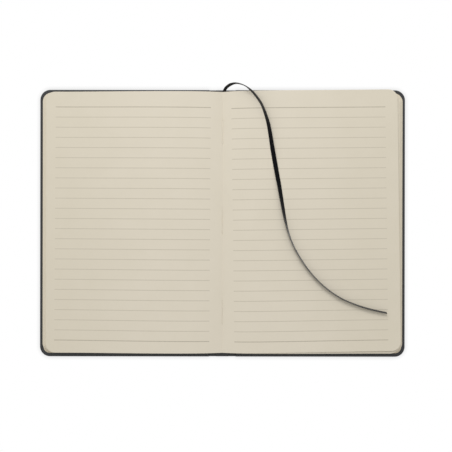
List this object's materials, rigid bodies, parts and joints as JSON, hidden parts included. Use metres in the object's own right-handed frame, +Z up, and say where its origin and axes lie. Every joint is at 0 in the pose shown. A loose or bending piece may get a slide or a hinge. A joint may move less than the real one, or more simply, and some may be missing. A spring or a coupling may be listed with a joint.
{
  "type": "hardcover notebook",
  "caption": "Hardcover ruled notebook lying open at a middle spread, with rounded corners, arched cream leaves, a sewn fold and a flat ribbon marker.",
  "frame": {"origin": "on the table, under the middle of the open notebook", "axes": "+X across the spread towards the back cover, +Y towards the head, +Z up"},
  "size_m": [0.292, 0.2175, 0.0167],
  "materials": {
    "page_paper": "matte cream, uncoated, with pale grey ruled lines",
    "endpaper": "matte cream, uncoated",
    "thread": "twisted cotton",
    "lining": "matte, glued",
    "board": "matte grey board",
    "covering": "soft matte imitation leather, fine grain",
    "ribbon": "woven satin"
  },
  "bodies": {
    "page_body": {"page_block": "page_paper", "sewing_thread": "thread", "spine_lining": "lining", "front_flyleaf": "endpaper", "back_flyleaf": "endpaper", "spine_board": "board", "spine_skin": "covering", "ribbon_marker": "ribbon"},
    "front_cover": {"front_board": "board", "front_cover_skin": "covering", "front_pastedown": "endpaper"},
    "back_cover": {"back_board": "board", "back_cover_skin": "covering", "back_pastedown": "endpaper"}
  },
  "joints": [
    {"name": "front_cover_hinge", "type": "hinge", "parent": "page_body", "child": "front_cover", "pos_m": [-0.008, 0, 0], "axis": [0, -1, 0], "range_deg": [0, 90]},
    {"name": "back_cover_hinge", "type": "hinge", "parent": "page_body", "child": "back_cover", "pos_m": [0.008, 0, 0], "axis": [0, 1, 0], "range_deg": [0, 90]}
  ]
}
